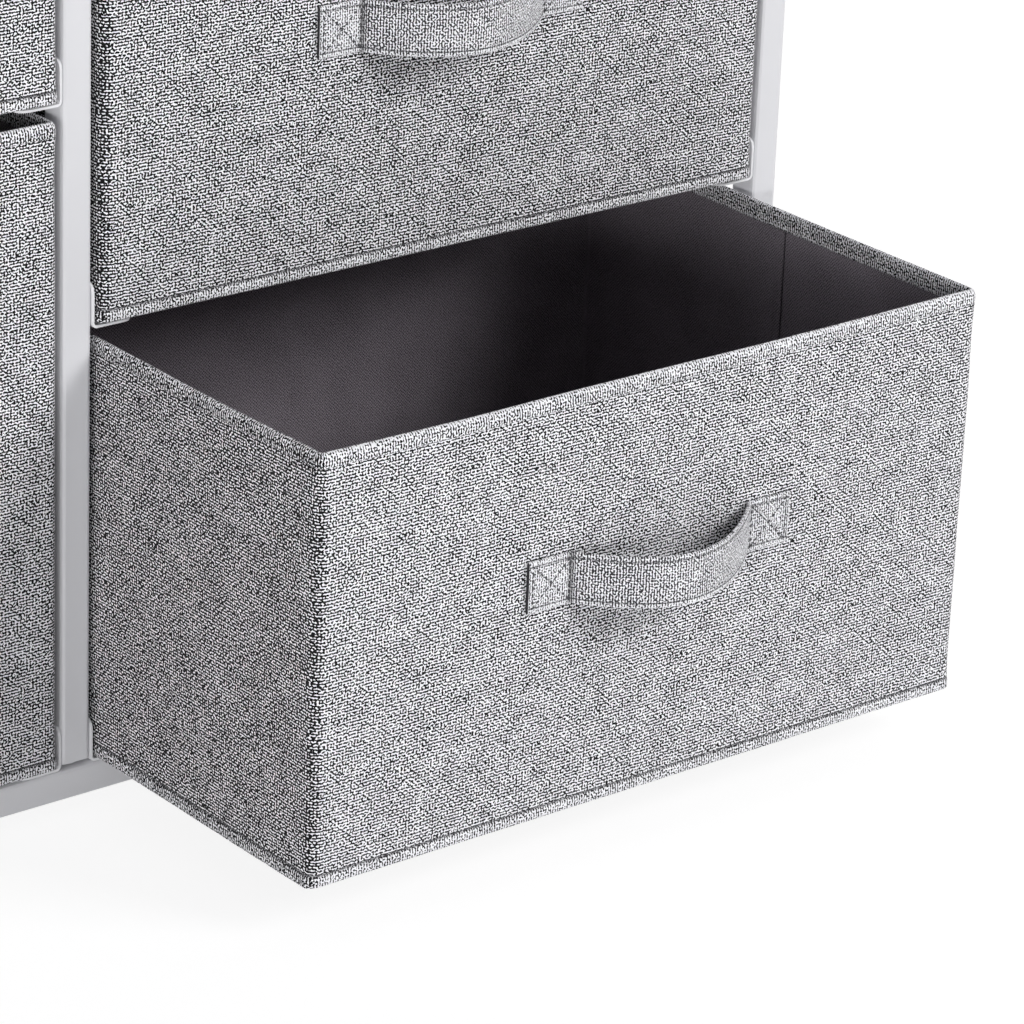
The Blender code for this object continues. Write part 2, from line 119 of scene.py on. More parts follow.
class Graph:
    """Short hand for building a node material."""

    def __init__(self, name):
        self.material = bpy.data.materials.new(name)
        self.material.use_nodes = True
        self.tree = self.material.node_tree
        self.shader = self.tree.nodes["Principled BSDF"]

    def put(self, socket, value):
        if isinstance(value, bpy.types.NodeSocket):
            self.tree.links.new(value, socket)
        else:
            socket.default_value = value

    def set(self, **values):
        for name, value in values.items():
            self.put(self.shader.inputs[name.replace("_", " ")], value)

    def node(self, kind, inputs=None, **settings):
        made = self.tree.nodes.new(kind)
        for name, value in settings.items():
            setattr(made, name, value)
        for name, value in (inputs or {}).items():
            self.put(made.inputs[name], value)
        return made

    def math(self, operation, *values, clamp=False):
        made = self.node("ShaderNodeMath", operation=operation, use_clamp=clamp)
        for index, value in enumerate(values):
            self.put(made.inputs[index], value)
        return made.outputs[0]

    def noise(self, vector, scale, detail=2.0, roughness=0.5, dimensions="3D"):
        made = self.node("ShaderNodeTexNoise", {"Vector": vector}, noise_dimensions=dimensions)
        for name, value in (("Scale", scale), ("Detail", detail), ("Roughness", roughness)):
            made.inputs[name].default_value = value
        return made.outputs[0]

    def remap(self, value, low, high, to_low=0.0, to_high=1.0):
        made = self.node("ShaderNodeMapRange", interpolation_type="SMOOTHSTEP")
        for index, item in enumerate((value, low, high, to_low, to_high)):
            self.put(made.inputs[index], item)
        return made.outputs[0]

    def mix(self, share, first, second):
        made = self.node("ShaderNodeMix", data_type="RGBA")
        self.put(made.inputs[0], share)
        for index, value in ((6, first), (7, second)):
            linked = isinstance(value, bpy.types.NodeSocket)
            self.put(made.inputs[index], value if linked else (*value, 1.0))
        return made.outputs[2]

    def bump(self, height, distance, strength=1.0, normal=None):
        made = self.node("ShaderNodeBump", {"Height": height})
        made.inputs["Strength"].default_value = strength
        made.inputs["Distance"].default_value = distance
        if normal is not None:
            self.put(made.inputs["Normal"], normal)
        return made.outputs[0]

    def object_place(self):
        return self.node("ShaderNodeTexCoord").outputs["Object"]

    def cloth_place(self):
        """The UV map "cloth", in metres along and up the cloth, whole and as its two parts."""
        uv = self.node("ShaderNodeUVMap", uv_map="cloth").outputs[0]
        across, up, _none = self.node("ShaderNodeSeparateXYZ", {"Vector": uv}).outputs
        return uv, across, up

    def marks(self):
        """The UV map "marks": how much paler the cloth is, and how dark a seam line is; both also
        carry painted light and shade.
        """
        uv = self.node("ShaderNodeUVMap", uv_map="marks").outputs[0]
        paler, seam, _none = self.node("ShaderNodeSeparateXYZ", {"Vector": uv}).outputs
        return paler, seam


def cloth_material(name, row_weight, break_weight, edge, dark):
    """Heather cloth: rows of dark dashes on a pale ground."""
    g = Graph(name)
    uv, across, up = g.cloth_place()
    paler, seam_mark = g.marks()
    drift = g.math("SUBTRACT", g.noise(uv, 45.0, 1.0, dimensions="2D"), 0.5)
    clouds = g.math("SUBTRACT", g.noise(uv, 120.0, 2.0, dimensions="2D"), 0.5)
    turn_up = g.math("MULTIPLY_ADD", up, 2.0 * math.pi / WEFT_PITCH,
                     g.math("MULTIPLY", drift, 3.0))
    turn_across = g.math("MULTIPLY_ADD", across, 2.0 * math.pi / WARP_PITCH,
                         g.math("MULTIPLY", drift, 4.0))
    rows = g.math("COSINE", turn_up)
    columns = g.math("COSINE", turn_across)
    half_up = g.math("COSINE", g.math("MULTIPLY", turn_up, 0.5))
    half_across = g.math("COSINE", g.math("MULTIPLY", turn_across, 0.5))
    checks = g.math("MULTIPLY", half_up, half_across)
    twill = g.math("COSINE", g.math("MULTIPLY", g.math("ADD", turn_up, turn_across), 0.62))
    narrowed = g.math("MULTIPLY", across, 0.80)
    slubs = g.node("ShaderNodeCombineXYZ", {"X": narrowed, "Y": up}).outputs[0]
    breaks = g.math("SUBTRACT", g.noise(slubs, 1260.0, 0.0, dimensions="2D"), 0.5)
    value = g.math("MULTIPLY", rows, row_weight)
    for wave, weight in ((columns, 0.26), (checks, 0.30), (twill, 0.20), (breaks, break_weight),
                         (clouds, 0.42), (drift, 0.24)):
        value = g.math("MULTIPLY_ADD", wave, weight, value)
    value = g.math("ADD", value, paler)
    pale = g.remap(value, -edge - 0.01, edge - 0.01)
    ground = g.mix(g.remap(clouds, -0.2, 0.2), (0.89, 0.885, 0.92), (0.96, 0.955, 0.985))
    woven = g.mix(pale, (dark, 0.95 * dark, 1.1 * dark), ground)
    seam = g.math("MULTIPLY", seam_mark, g.remap(rows, -1.0, 1.0, 1.0, 0.7), clamp=True)
    height = g.math("SUBTRACT", pale, g.math("MULTIPLY", seam, 2.0))
    g.set(Base_Color=g.mix(seam, woven, (0.03, 0.029, 0.033)), Roughness=0.92,
          Normal=g.bump(height, 0.16 * MM, 0.5))
    g.set(Sheen_Weight=0.05, Sheen_Roughness=0.6, Specular_IOR_Level=0.15)
    return g.material


def lining_material():
    """Charcoal non-woven cloth with a fine pressed lattice and pale fibres."""
    g = Graph("charcoal_lining")
    uv, across, up = g.cloth_place()
    _paler, seam = g.marks()
    turn = 2.0 * math.pi / LATTICE_PITCH
    rising = g.math("SINE", g.math("MULTIPLY", g.math("ADD", across, up), turn))
    falling = g.math("SINE", g.math("MULTIPLY", g.math("SUBTRACT", across, up), turn))
    dots = g.remap(g.math("MAXIMUM", rising, falling), 0.35, 1.0)
    fibres = g.remap(g.noise(uv, 1500.0, 3.0, 0.7, dimensions="2D"), 0.42, 0.66)
    clouds = g.remap(g.noise(uv, 30.0, 2.0, dimensions="2D"), 0.1, 0.9)
    tone = g.math("MULTIPLY", dots, 0.42)
    for layer, weight in ((fibres, 0.40), (clouds, 0.10)):
        tone = g.math("MULTIPLY_ADD", layer, weight, tone)
    plain = g.mix(tone, (0.030, 0.026, 0.031), (0.56, 0.50, 0.56))
    height = g.math("MULTIPLY_ADD", fibres, 0.4, dots)
    g.set(Base_Color=g.mix(seam, plain, (0.012, 0.011, 0.013)), Roughness=0.85,
          Normal=g.bump(height, 0.12 * MM, 0.6))
    g.set(Sheen_Weight=0.08, Sheen_Roughness=0.5, Specular_IOR_Level=0.25)
    return g.material


def thread_material():
    """Grey sewing thread with its twist."""
    g = Graph("sewing_thread")
    twist = g.node("ShaderNodeTexWave", {"Vector": g.object_place(), "Scale": 900.0},
                   wave_type="BANDS", bands_direction="DIAGONAL").outputs[1]
    g.set(Base_Color=g.mix(twist, (0.02, 0.02, 0.023), (0.075, 0.075, 0.082)), Roughness=0.6,
          Normal=g.bump(twist, 0.05 * MM, 0.4))
    return g.material


def coated_material(name, colour, roughness, grain, depth, edge, gloss=0.5):
    """Paint, laminate or plastic: faint orange peel, slight cloudiness, edges that look rounded."""
    g = Graph(name)
    place = g.object_place()
    rounded = g.node("ShaderNodeBevel", {"Radius": edge}, samples=6).outputs[0]
    peel = g.noise(place, grain, 2.0, 0.55)
    clouds = g.noise(place, 9.0, 2.0)
    darker = tuple(0.965 * value for value in colour)
    g.set(Base_Color=g.mix(clouds, darker, colour), Normal=g.bump(peel, depth, 0.35, rounded))
    g.set(Roughness=g.remap(clouds, 0.3, 0.7, roughness - 0.02, roughness + 0.02))
    g.set(Specular_IOR_Level=gloss)
    return g.material


def zinc_material():
    """Zinc plated steel with fine turning marks."""
    g = Graph("zinc_plated_bolt")
    place = g.object_place()
    marks = g.noise(place, 2200.0, 2.0, 0.6)
    clouds = g.noise(place, 350.0, 2.0)
    g.set(Base_Color=g.mix(clouds, (0.52, 0.52, 0.54), (0.68, 0.68, 0.69)), Metallic=1.0,
          Roughness=g.remap(marks, 0.3, 0.7, 0.26, 0.42), Normal=g.bump(marks, 0.02 * MM, 0.4))
    return g.material


cloth = cloth_material("heather_cloth", 0.64, 3.5, 0.025, 0.004)
webbing = cloth_material("heather_webbing", 0.62, 3.2, 0.30, 0.03)
lining = lining_material()
thread = thread_material()
coat = coated_material("white_powder_coat", (0.755, 0.755, 0.78), 0.34, 1500.0, 0.03 * MM,
                       TUBE_ROUND)
# The sheet coat is paler than the tubes' coat, a painted highlight for the guides' bright edges.
sheet_coat = coated_material("white_sheet_coat", (0.86, 0.86, 0.88), 0.28, 1500.0, 0.02 * MM,
                             SHEET_ROUND)
laminate = coated_material("white_laminate", (0.80, 0.80, 0.805), 0.62, 420.0, 0.04 * MM,
                           SHEET_ROUND, 0.2)
foot_plastic = coated_material("grey_foot_plastic", (0.36, 0.36, 0.37), 0.55, 2600.0, 0.05 * MM,
                               TUBE_ROUND)
zinc = zinc_material()

for name, node in nodes.items():
    if name.endswith("_bolt"):
        finish = zinc
    elif name.endswith("_foot"):
        finish = foot_plastic
    elif name == "top_board":
        finish = laminate
    elif "_guide_" in name:
        finish = sheet_coat
    else:
        finish = coat
    for entry in node.material_slots:
        entry.material = finish


# Meshes of cloth

def outline(width, depth, radius):
    """Rounded rectangle from the middle of its back.

    Returns its points, each with the outward normal, and the length run up to each.
    """
    points = []
    half_x, half_y = width / 2 - radius, depth / 2 - radius

    def side(start, end, normal, count):
        for index in range(count):
            points.append((start.lerp(end, index / count), normal))

    def corner(centre, first):
        for index in range(CORNER_STEPS):
            angle = first + math.pi / 2 * index / CORNER_STEPS
            normal = Vector((math.cos(angle), math.sin(angle)))
            points.append((centre + normal * radius, normal))

    up, right = Vector((0, 1)), Vector((1, 0))
    wide, deep = round(width / SEGMENT / 2), round(depth / SEGMENT)
    side(Vector((0, half_y + radius)), Vector((-half_x, half_y + radius)), up, wide)
    corner(Vector((-half_x, half_y)), math.pi / 2)
    side(Vector((-half_x - radius, half_y)), Vector((-half_x - radius, -half_y)), -right, deep)
    corner(Vector((-half_x, -half_y)), math.pi)
    side(Vector((-half_x, -half_y - radius)), Vector((half_x, -half_y - radius)), -up, 2 * wide)
    corner(Vector((half_x, -half_y)), math.pi * 1.5)
    side(Vector((half_x + radius, -half_y)), Vector((half_x + radius, half_y)), right, deep)
    corner(Vector((half_x, half_y)), 0.0)
    side(Vector((half_x, half_y + radius)), Vector((0, half_y + radius)), up, wide)
    run = [0.0]
    for index, (point, _normal) in enumerate(points):
        run.append(run[-1] + (points[(index + 1) % len(points)][0] - point).length)
    return points, run


def soft_outline(width, depth, softness):
    """Outline with corners from tight, as at the rim (0), to round, as on the panels (1)."""
    return outline(width, depth, RIM_CORNER + (PANEL_CORNER - RIM_CORNER) * softness)


def painted_side_shade(point, normal, depth):
    """Painted shade: how much darker the cloth is painted on the left side, more so beside the
    front corner.
    """
    beside = max(0.0, 1.0 - (point.y + depth / 2) / CORNER_PAINTED_SHADE_WIDTH)
    return max(0.0, -normal.x) * (SIDE_PAINTED_SHADE + CORNER_PAINTED_SHADE * beside)


def side_share(point, width, depth):
    """How far a point of the outline lies from its nearest corner: 0 there, 1 along a side."""
    away = max(1.0 - abs(point.x) / (width / 2), 1.0 - abs(point.y) / (depth / 2))
    return min(1.0, 2.2 * away)


def cloth_maps(bm):
    """The two UV maps that the cloth materials read."""
    return bm.loops.layers.uv.new("cloth"), bm.loops.layers.uv.new("marks")


def bridge(bm, rings, closed, flipped, mark):
    """Joins each ring of vertices to the next by quads.

    mark(loop, row, level, place) sets the UV maps of a corner: row is the lower ring of its quad,
    level its own ring, and place its number in the ring, which runs one past the end if closed.
    """
    count = len(rings[0])
    for row in range(len(rings) - 1):
        for number in range(count if closed else count - 1):
            corners = [(row, number), (row, number + 1), (row + 1, number + 1), (row + 1, number)]
            if flipped:
                corners[1], corners[3] = corners[3], corners[1]
            face = bm.faces.new([rings[level][place % count] for level, place in corners])
            face.smooth = True
            for loop, (level, place) in zip(face.loops, corners):
                mark(loop, row, level, place)


def to_object(bm, name, material):
    """Turns a bmesh into an object of the scene."""
    mesh = bpy.data.meshes.new(name)
    bm.to_mesh(mesh)
    bm.free()
    mesh.materials.append(material)
    obj = bpy.data.objects.new(name, mesh)
    scene.collection.objects.link(obj)
    return obj


def skin(name, material, centre, width, depth, levels, give, floor=False, inward=False, soft=None,
         darker=0.0):
    """Sweeps a profile round a rounded rectangle.

    Each level is (height, outward offset, cloth runs upright, paler by, seam). give(point, normal,
    run, height, offset) returns the small outward wave and lift of the cloth. soft(height) says how
    round the corners are there. A floor closes the first ring. The left sides are painted darker, a
    painted shade, and the whole cloth can be painted darker too, also a painted shade.
    """
    bm = bmesh.new()
    layer, marks = cloth_maps(bm)
    rings, lengths, runs = [], [0.0], []
    for index, (height, offset, *_rest) in enumerate(levels):
        points, run = soft_outline(width, depth, soft(height) if soft else 0.0)
        ring = []
        for number, (point, normal) in enumerate(points):
            wave, lift = give(point, normal, run[number], height, offset)
            flat = point + normal * (offset + wave)
            place = (centre.x + flat.x, centre.y + flat.y, centre.z + height + lift)
            ring.append(bm.verts.new(place))
        rings.append(ring)
        front = run[len(points) // 2]
        runs.append([length - front for length in run])
        if index:
            before = levels[index - 1]
            lengths.append(lengths[-1] + math.hypot(height - before[0], offset - before[1]))
    # Painted shade for each place round the outline, taken from the last ring's points
    painted_shades = [painted_side_shade(point, normal, depth) for point, normal in points]

    def mark(loop, row, level, place):
        upright = levels[row + 1][2]
        along, up = runs[level][place], lengths[level]
        loop[layer].uv = (up, along * BAND_STRETCH) if upright else (along, up)
        # Painted shade: the left sides darker, the hem and rim bands there more so, and the whole
        # cloth darker by darker
        shade = painted_shades[place % len(painted_shades)] * (BAND_PAINTED_SHADE if upright else 1.0)
        loop[marks].uv = (levels[level][3] - shade - darker, levels[level][4])

    bridge(bm, rings, True, False, mark)
    if floor:
        face = bm.faces.new(rings[0])
        for loop in face.loops:
            loop[layer].uv = loop.vert.co.xy
    bm.normal_update()
    if inward:
        bmesh.ops.reverse_faces(bm, faces=bm.faces)
    return to_object(bm, name, material)


def stitches(name, path, body, thickness=THREAD):
    """Short rounded stitches of thread along a path of (point, normal)."""
    bm = bmesh.new()
    size = Matrix.Diagonal((STITCH / 2, thickness / 2, thickness / 2, 1.0))
    travelled, target = 0.0, STITCH / 2
    for (first, normal), (second, _after) in zip(path, path[1:]):
        length = (second - first).length
        if length == 0.0:
            continue
        direction = (second - first) / length
        while target <= travelled + length:
            middle = first + direction * (target - travelled)
            across = normal.cross(direction).normalized()
            turn = Matrix((direction, across, across.cross(direction))).transposed().to_4x4()
            bmesh.ops.create_icosphere(bm, subdivisions=1, radius=1.0,
                                       matrix=Matrix.Translation(middle) @ turn @ size)
            target += STITCH + STITCH_GAP
        travelled += length
    for face in bm.faces:
        face.smooth = True
    obj = to_object(bm, name, thread)
    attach(obj, body)


def seam_ridge(name, line, body):
    """Narrow overlap of the lining, standing a little off its wall."""
    bm = bmesh.new()
    layer, marks = cloth_maps(bm)
    profile = ((-3.2 * MM, 0.0, 1.0), (-3.0 * MM, 0.45 * MM, 0.5), (-2.2 * MM, 0.55 * MM, 0.0),
               (0.0, 0.5 * MM, 0.0), (2.4 * MM, 0.35 * MM, 0.0), (3.6 * MM, 0.0, 0.0))
    along = Vector((0, 1, 0))
    rings = [[bm.verts.new(point + along * place + normal * (rise - 0.1 * MM))
              for place, rise, _seam in profile] for point, normal in line]

    def mark(loop, _row, _level, place):
        loop[layer].uv = loop.vert.co.yz
        loop[marks].uv = (0.0, profile[place][2])

    bridge(bm, rings, False, True, mark)
    obj = to_object(bm, name, lining)
    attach(obj, body)


# Drawers

def drawer(name, seed):
    """Cloth shell, lining, base board and seams of one drawer."""
    body = f"{name}_drawer"
    low, high = (Vector(corner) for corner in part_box(f"{body}_shell"))
    width, depth = (high.x - low.x) - CLOTH_PLAY, (high.y - low.y) - CLOTH_PLAY
    height = high.z - low.z
    centre = Vector(((low.x + high.x) / 2, (low.y + high.y) / 2, low.z))

    def give(point, normal, run, z, offset):
        share = side_share(point, width, depth)
        middle = math.sin(math.pi * min(max(z / height, 0.0), 1.0))
        spot = Vector((point.x * 16.0 + seed * 7.3, point.y * 16.0, z * 14.0))
        wave = WAVE * noise.noise(spot) * share * (0.35 + 0.65 * middle)
        wave += RIPPLE * noise.noise(spot * 4.0 + Vector((3.1, 0.0, 0.0)))
        rim = max(0.0, (z - 0.75 * height) / (0.25 * height))
        uneven = 0.6 + 0.8 * noise.noise(Vector((run * 9.0, seed, 0.0)))
        lift = -RIM_SAG * share * rim * uneven
        wave -= RIM_TUCK * (1.0 - share) * rim
        if z < 2.0 * MM and normal.y < 0.0:
            lift -= normal.y * HEM_RAISE * (1.0 - z / (2.0 * MM))
        return wave, lift

    def soft(z):
        """Corners are tight at the rim and near the hem, and rounder between them."""
        from_rim = min(1.0, max(0.0, (height - RIM_BAND - z) / (14.0 * MM)))
        from_hem = min(1.0, max(0.25, 0.25 + (z - HEM) / (18.0 * MM)))
        return from_rim * from_hem

    hem_levels = [
        (0.6 * MM, -9.0 * MM, True, 0.1, 0.0),
        (0.0, -3.2 * MM, True, 0.1, 0.0),
        (0.0, -1.2 * MM, True, 0.2, 0.0),
        (0.4 * MM, 0.1 * MM, True, 0.25, 0.0),
        (1.5 * MM, 0.5 * MM, True, 0.25, 0.0),
        (HEM * 0.55, 0.62 * MM, True, 0.22, 0.0),
        (HEM - 1.0 * MM, 0.5 * MM, True, 0.2, 0.0),
        (HEM - 0.3 * MM, 0.1 * MM, True, 0.1, 0.35),
        (HEM, -0.25 * MM, True, 0.0, 0.9),
        (HEM + 0.35 * MM, -0.05 * MM, False, 0.0, 0.5),
        (HEM + 1.2 * MM, 0.1 * MM, False, 0.0, 0.0),
    ]
    bottom, top = HEM + 4.0 * MM, height - RIM_BAND - 4.0 * MM
    rows = round((top - bottom) / SHELL_ROW)
    panel_levels = [(bottom + (top - bottom) * index / rows, 0.1 * MM, False, 0.0, 0.0)
                    for index in range(rows + 1)]
    # On the rim the paler column rises over the rounded top, a painted highlight, and falls below
    # zero on the inside fold, a painted shade.
    rim_levels = [
        (height - RIM_BAND - 0.6 * MM, 0.1 * MM, False, 0.0, 0.0),
        (height - RIM_BAND, 0.0, False, 0.0, 0.25),
        (height - RIM_BAND + 0.4 * MM, 0.15 * MM, True, 0.0, 0.0),
        (height - 4.4 * MM, 0.22 * MM, True, 0.02, 0.0),
        (height - 3.2 * MM, 0.16 * MM, True, 0.08, 0.0),
        (height - 2.2 * MM, -0.05 * MM, True, 0.2, 0.0),
        (height - 1.4 * MM, -0.35 * MM, True, 0.34, 0.0),
        (height - 0.8 * MM, -0.75 * MM, True, 0.45, 0.0),
        (height - 0.3 * MM, -1.25 * MM, True, 0.5, 0.0),
        (height, -1.9 * MM, True, 0.45, 0.0),
        (height - 0.15 * MM, -2.5 * MM, True, 0.3, 0.0),
        (height - 0.7 * MM, -3.0 * MM, True, 0.1, 0.0),
        (height - 1.6 * MM, -3.3 * MM, True, 0.0, 0.0),
        (height - 3.5 * MM, -3.4 * MM, True, -0.15, 0.0),
        (height - FOLD * 0.6, -3.45 * MM, True, -0.2, 0.0),
        (height - FOLD + 1.2 * MM, -3.5 * MM, True, 0.1, 0.0),
        (height - FOLD, -3.3 * MM, True, 0.2, 0.2),
        (height - FOLD - 0.1 * MM, -2.4 * MM, True, -0.25, 0.8),
    ]
    # Painted shade: the shut drawers are darker than the open one.
    darker = 0.0 if name == OPEN_DRAWER else CLOSED_PAINTED_SHADE
    shell = skin(f"{body}_cloth", cloth, centre, width, depth,
                 hem_levels + panel_levels + rim_levels, give, soft=soft, darker=darker)
    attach(shell, body)
    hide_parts(f"{body}_shell")

    start, top = LINING_FLOOR + 3.0 * MM, height - FOLD + 4.0 * MM
    rows = round((top - LINING_FLOOR) / LINING_ROW)
    levels = [(LINING_FLOOR, LINING_OFFSET - 0.8 * MM, False, 0.0, 0.5),
              (LINING_FLOOR + 0.8 * MM, LINING_OFFSET, False, 0.0, 0.2)]
    levels += [(start + (top - start) * index / rows, LINING_OFFSET, False, 0.0, 0.0)
               for index in range(rows + 1)]
    inside = skin(f"{body}_lining_cloth", lining, centre, width, depth, levels, give, floor=True,
                  inward=True, soft=lambda z: 0.6 * soft(z))
    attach(inside, body)
    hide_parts(f"{body}_lining")

    low_board, high_board = (Vector(corner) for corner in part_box(f"{body}_base_board"))
    size = high_board - low_board
    middle = (low_board + high_board) / 2
    middle.z = low_board.z

    def board_give(point, _normal, _run, _z, offset):
        lift = BOARD_WAVE * noise.noise(Vector((point.x * 20.0, point.y * 20.0, seed)))
        return 0.0, lift if offset > -BOARD_EDGE else 0.0

    levels = [(size.z, -7.0 * MM, False, 0.0, 0.0),
              (size.z, -1.4 * MM, False, 0.0, 0.0),
              (size.z - 0.4 * MM, -0.4 * MM, False, 0.0, 0.0),
              (size.z * 0.5, 0.0, False, 0.0, 0.0),
              (0.3 * MM, -0.3 * MM, False, 0.0, 0.0),
              (0.0, -1.2 * MM, False, 0.0, 0.0)]
    board = skin(f"{body}_covered_board", lining, middle, size.x, size.y, levels, board_give,
                 floor=True, inward=True)
    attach(board, body)
    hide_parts(f"{body}_base_board")

    def path(z, offset):
        """Line round the shell at one height, on its waves, for a row of stitches."""
        points, run = soft_outline(width, depth, soft(z))
        line = []
        for number in range(len(points) + 1):
            point, normal = points[number % len(points)]
            wave, lift = give(point, normal, run[number], z, offset)
            flat = point + normal * (offset + wave)
            line.append((centre + Vector((flat.x, flat.y, z + lift)),
                         Vector((normal.x, normal.y, 0.0))))
        return line

    stitches(f"{body}_hem_stitches", path(HEM, -0.1 * MM), body)
    stitches(f"{body}_rim_stitches", path(height - RIM_BAND, 0.05 * MM), body)

    tall = height - FOLD - 0.4 * MM - LINING_FLOOR
    line = [(Vector((high.x - 3.9 * MM, low.y + LINING_SEAM,
                     low.z + LINING_FLOOR + tall * index / LINING_SEAM_STEPS)), Vector((-1, 0, 0)))
            for index in range(LINING_SEAM_STEPS + 1)]
    seam_ridge(f"{body}_lining_seam", line, body)


def handle(name, seed):
    """Strap with its two sewn patches and the bow between them."""
    body = f"{name}_drawer"
    low, high = (Vector(corner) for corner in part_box(f"{body}_handle"))
    half_width = STRAP_WIDTH / 2
    half = (high.x - low.x) / 2 - PATCH
    bow = (high.y - low.y) - STRAP_THICKNESS
    middle_x, face_y, middle_z = (low.x + high.x) / 2, high.y, high.z - half_width

    def station(t):
        """Place of the strap at t from -1 to 1 of the free span."""
        swell = max(math.cos(math.pi / 2 * t), 0.0) ** 0.9
        sag = STRAP_SAG * swell + STRAP_TWIST * math.sin(3.0 * t + seed)
        return Vector((middle_x + half * t, face_y - bow * swell, middle_z - sag))

    spine = [Vector((middle_x - half - PATCH * (1 - index / PATCH_STEPS), face_y, middle_z))
             for index in range(PATCH_STEPS)]
    spine += [station(-1 + 2 * index / STRAP_STEPS) for index in range(STRAP_STEPS + 1)]
    spine += [Vector((middle_x + half + PATCH * (index + 1) / PATCH_STEPS, face_y, middle_z))
              for index in range(PATCH_STEPS)]
    run = [0.0]
    for first, second in zip(spine, spine[1:]):
        run.append(run[-1] + (second - first).length)
    # Across the strap: place in half widths, height in thicknesses, paler by, seam. The inner face,
    # toward the drawer, is painted darker, a painted shade.
    profile = [(-1.0, 0.45, 0.4, 0.0), (-0.985, 0.85, 0.4, 0.0), (-0.94, 1.02, 0.4, 0.0),
               (-0.86, 1.05, 0.3, 0.0), (-0.83, 1.00, 0.0, 0.3), (-0.80, 0.88, 0.0, 0.7),
               (-0.77, 1.00, 0.0, 0.2), (-0.72, 1.03, 0.0, 0.0), (-0.4, 1.05, 0.0, 0.0),
               (0.0, 1.07, 0.0, 0.0), (0.4, 1.05, 0.0, 0.0), (0.72, 1.03, 0.0, 0.0),
               (0.77, 1.00, 0.0, 0.2), (0.80, 0.88, 0.0, 0.7), (0.83, 1.00, 0.0, 0.3),
               (0.86, 1.05, 0.0, 0.0), (0.94, 1.02, 0.1, 0.0), (0.985, 0.85, 0.2, 0.0),
               (1.0, 0.45, 0.2, 0.0), (0.97, 0.12, 0.0, 0.6), (0.9, 0.0, -0.7, 0.0),
               (-0.9, 0.0, -0.7, 0.0), (-0.97, 0.12, 0.0, 0.6)]
    bm = bmesh.new()
    layer, marks = cloth_maps(bm)
    rings, frames = [], []
    for index, point in enumerate(spine):
        along = spine[min(index + 1, len(spine) - 1)] - spine[max(index - 1, 0)]
        along.z = 0.0
        along.normalize()
        out = Vector((along.y, -along.x, 0.0))
        rings.append([bm.verts.new(point + Vector((0, 0, across * half_width))
                                   + out * rise * STRAP_THICKNESS)
                      for across, rise, *_marks in profile])
        frames.append((point, out))

    def mark(loop, _row, station_number, place):
        across, _rise, paler, seam = profile[place % len(profile)]
        loop[layer].uv = (across * half_width * 1.2 + seed, run[station_number] * WEBBING_STRETCH)
        # Along the free span the strap is painted darker at its left and paler at its right, a
        # painted light and shade; the patches are paler in their own tone.
        if PATCH_STEPS <= station_number < len(spine) - PATCH_STEPS:
            paler += STRAP_PAINTED_SHADING * ((station_number - PATCH_STEPS) / STRAP_STEPS - 0.4)
        else:
            paler += PATCH_PALER
        # A dark line where the strap leaves its left patch: a painted shadow.
        if station_number == PATCH_STEPS:
            seam = 0.8
        loop[marks].uv = (paler, seam)

    bridge(bm, rings, True, True, mark)
    # Both cut ends of the strap are painted dark: a painted shade.
    for ring in (list(reversed(rings[0])), rings[-1]):
        face = bm.faces.new(ring)
        for loop in face.loops:
            loop[marks].uv = (0.0, 2.0)
    bmesh.ops.recalc_face_normals(bm, faces=bm.faces)
    strap = to_object(bm, f"{body}_strap", webbing)
    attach(strap, body)
    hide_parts(f"{body}_handle")

    for side, edge in (("upper", STRAP_SEAM), ("lower", -STRAP_SEAM)):
        line = [(point + Vector((0, 0, edge * half_width)) + out * STRAP_THICKNESS * 0.98, out)
                for point, out in frames]
        stitches(f"{body}_strap_{side}_stitches", line, body)
    out = Vector((0, -1, 0))
    y, z = face_y - STRAP_THICKNESS * 1.07, STRAP_SEAM * half_width
    for side, sign in (("left", -1), ("right", 1)):
        inner_x = middle_x + sign * (half + 1.8 * MM)
        outer_x = middle_x + sign * (half + PATCH - 2.2 * MM)
        cross = [(inner_x, -z), (outer_x, z), (outer_x, -z), (inner_x, z), (inner_x, -z)]
        stitches(f"{body}_{side}_patch_stitches",
                 [(Vector((x, y, middle_z + rise)), out) for x, rise in cross], body, 2.0 * THREAD)


for number, name in enumerate(DRAWERS):
    drawer(name, number + 1.0)
    handle(name, number + 1.0)


# Stage, light and camera

def area_light(name, place, target, size, power):
    """Soft box, given as its width and height, that looks at a target."""
    data = bpy.data.lights.new(name, "AREA")
    data.shape = "RECTANGLE"
    data.size, data.size_y = size
    data.energy = power
    lamp = bpy.data.objects.new(name, data)
    lamp.location = place
    looks = Vector(target) - Vector(place)
    lamp.rotation_euler = looks.to_track_quat("-Z", "Y").to_euler()
    scene.collection.objects.link(lamp)


